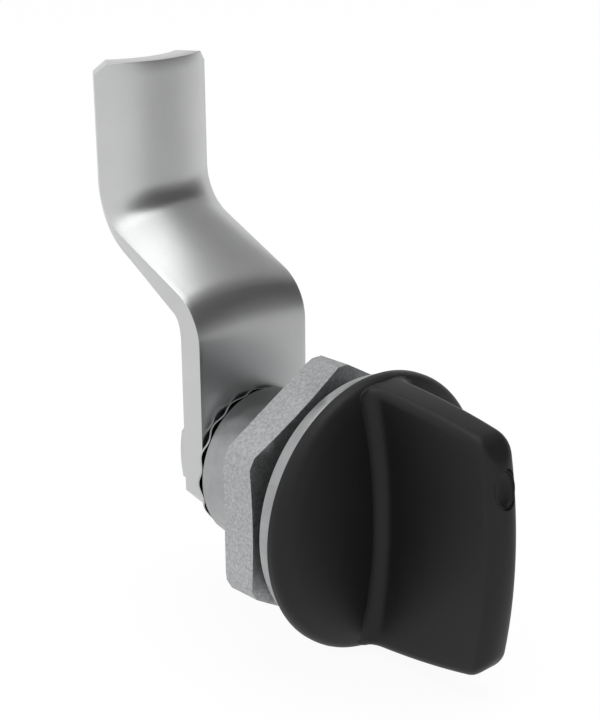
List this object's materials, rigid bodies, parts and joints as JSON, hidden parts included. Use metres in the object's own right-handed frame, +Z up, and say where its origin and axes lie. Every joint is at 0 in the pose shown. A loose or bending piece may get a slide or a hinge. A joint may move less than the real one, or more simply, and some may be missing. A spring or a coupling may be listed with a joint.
{
  "type": "quarter-turn cam latch",
  "caption": "Quarter-turn cam latch: black wing knob, plated threaded housing with a hex nut, and a cranked steel cam held by a hex bolt.",
  "frame": {"origin": "centre of the flange's back face, on the barrel's axis, where the panel's front face lies", "axes": "X across, to the right as seen from the knob. Y along the barrel, from the knob through the panel to the cam. Z up, the way that the cam points when the knob's wing stands upright."},
  "size_m": [0.031, 0.0581, 0.0603],
  "materials": {
    "knob_plastic": "fine grain",
    "dot_plastic": "smooth",
    "bright_zinc": "polished and plated",
    "plated_steel": "bright zinc plate",
    "black_steel": "blackened",
    "spring_steel": "oiled",
    "seal_rubber": "matt",
    "acetal": "natural"
  },
  "bodies": {
    "fixed": {"housing": "bright_zinc", "hex_nut": "plated_steel", "panel_seal": "seal_rubber", "knob_seal": "seal_rubber", "thrust_washer": "acetal", "shim_washer": "plated_steel", "crinkle_washer": "black_steel"},
    "rotor": {"wing_knob": "knob_plastic", "marker_dot": "dot_plastic", "cross_pin": "spring_steel", "spindle": "plated_steel", "spindle_seal": "seal_rubber", "retaining_ring": "spring_steel", "cam": "plated_steel", "lock_washer": "plated_steel", "cam_bolt": "plated_steel"}
  },
  "joints": [
    {"name": "turn", "type": "hinge", "parent": "fixed", "child": "rotor", "pos_m": [0, 0, 0], "axis": [0, 1, 0], "range_deg": [0, 90]}
  ]
}
